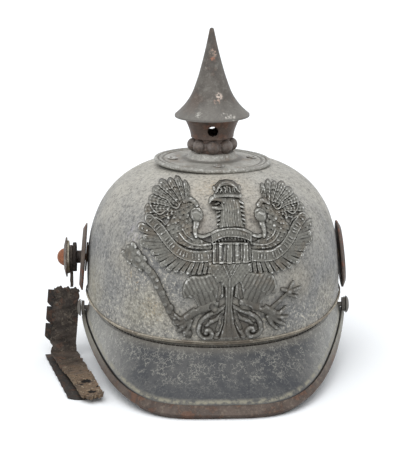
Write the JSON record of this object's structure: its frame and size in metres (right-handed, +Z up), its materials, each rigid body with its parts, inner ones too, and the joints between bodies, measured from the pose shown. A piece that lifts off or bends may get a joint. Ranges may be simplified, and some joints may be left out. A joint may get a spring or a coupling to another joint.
{
  "type": "military helmet",
  "caption": "Spiked leather parade helmet with visor, neck guard, front plate, liner, vent slider and chin strap.",
  "frame": {"origin": "On the table plane under the spike's axis; the helmet stands on its visor edges.", "axes": "+Z up along the spike, -Y to the front visor, +X to the wearer's left."},
  "size_m": [0.2323, 0.3226, 0.2517],
  "materials": {
    "skull_leather": "aged, dull, with a grey brown bloom",
    "visor_leather": "crackled varnish",
    "piping_leather": "worn bead with stitches",
    "trim_metal": "worn grey with rust",
    "stud_metal": "dull, tarnished",
    "spine_metal": "dull, tarnished",
    "base_metal": "worn, with rust at the rim",
    "rivet_metal": "dull",
    "spike_metal": "dark tarnish with rust",
    "washer_leather": "dry",
    "washer_paper": "yellowed",
    "plate_metal": "dark grey, worn on the raised parts",
    "fixing_brass": "dull",
    "wedge_leather": "dry",
    "cockade_metal": "worn paint",
    "rosette_metal": "dull with rust",
    "screw_metal": "rusty",
    "strap_leather": "dry, cracked and torn",
    "scale_metal": "dark tarnish",
    "liner_leather": "worn",
    "string_cloth": "dull cotton"
  },
  "bodies": {
    "helmet": {"skull_shell": "skull_leather", "front_visor": "visor_leather", "rear_visor": "visor_leather", "seam_piping": "piping_leather", "front_visor_trim": "trim_metal", "trim_studs": "stud_metal", "rear_spine": "spine_metal", "spine_rivets": "spine_metal", "spike_base_plate": "base_metal", "base_plate_rivets": "rivet_metal", "rivet_washers": "rivet_metal", "spike_neck": "spike_metal", "pearl_ring": "spike_metal", "front_plate": "plate_metal", "plate_loops": "fixing_brass", "plate_wedges": "wedge_leather", "cockade_right": "cockade_metal", "cockade_left": "cockade_metal", "cockade_packing": "washer_leather", "side_bush_right": "fixing_brass", "side_bush_left": "fixing_brass", "rosette_post": "fixing_brass", "rosette_inner_washer": "washer_leather", "rosette_outer_washer": "washer_paper", "liner_band": "liner_leather", "liner_tongues": "liner_leather", "liner_drawstring": "string_cloth"},
    "spike_carrier": {"spike_washer": "washer_leather"},
    "spike_part": {"spike": "spike_metal"},
    "rosette_carrier": {"rosette_disc": "rosette_metal"},
    "rosette_fastener": {"rosette_screw": "screw_metal"},
    "strap_hanging": {"strap_tab": "strap_leather", "strap_leather_upper": "strap_leather", "chin_scales_upper": "scale_metal"},
    "strap_lying": {"strap_leather_lower": "strap_leather", "chin_scales_lower": "scale_metal"},
    "slider": {"vent_slider": "spine_metal"}
  },
  "joints": [
    {"name": "spike_lift", "type": "slide", "parent": "helmet", "child": "spike_carrier", "axis": [0, 0, 1], "range_m": [0, 0.003]},
    {"name": "spike_turn", "type": "hinge", "parent": "spike_carrier", "child": "spike_part", "pos_m": [0, 0, 0.1855], "axis": [0, 0, 1], "range_deg": [0, 1075]},
    {"name": "rosette_out", "type": "slide", "parent": "helmet", "child": "rosette_carrier", "axis": [-1, 0, 0], "range_m": [0, 0.0032]},
    {"name": "rosette_turn", "type": "hinge", "parent": "rosette_carrier", "child": "rosette_fastener", "pos_m": [-0.1128, 0, 0.078], "axis": [-1, 0, 0], "range_deg": [0, 1440]},
    {"name": "strap_swing", "type": "hinge", "parent": "helmet", "child": "strap_hanging", "pos_m": [-0.10727, 0, 0.078], "axis": [1, 0, 0], "range_deg": [-90, 115]},
    {"name": "strap_fold", "type": "hinge", "parent": "strap_hanging", "child": "strap_lying", "pos_m": [-0.11799, 0, 0.005], "axis": [1, 0, 0], "range_deg": [-15, 90]},
    {"name": "vent_slide", "type": "slide", "parent": "helmet", "child": "slider", "axis": [0, 0.283, -0.9591], "range_m": [0, 0.011]}
  ],
  "couplings": [
    {"joint": "spike_lift", "follows": "spike_turn", "m_per_rad": 0.00015915},
    {"joint": "rosette_turn", "follows": "rosette_out", "rad_per_m": 7854}
  ]
}
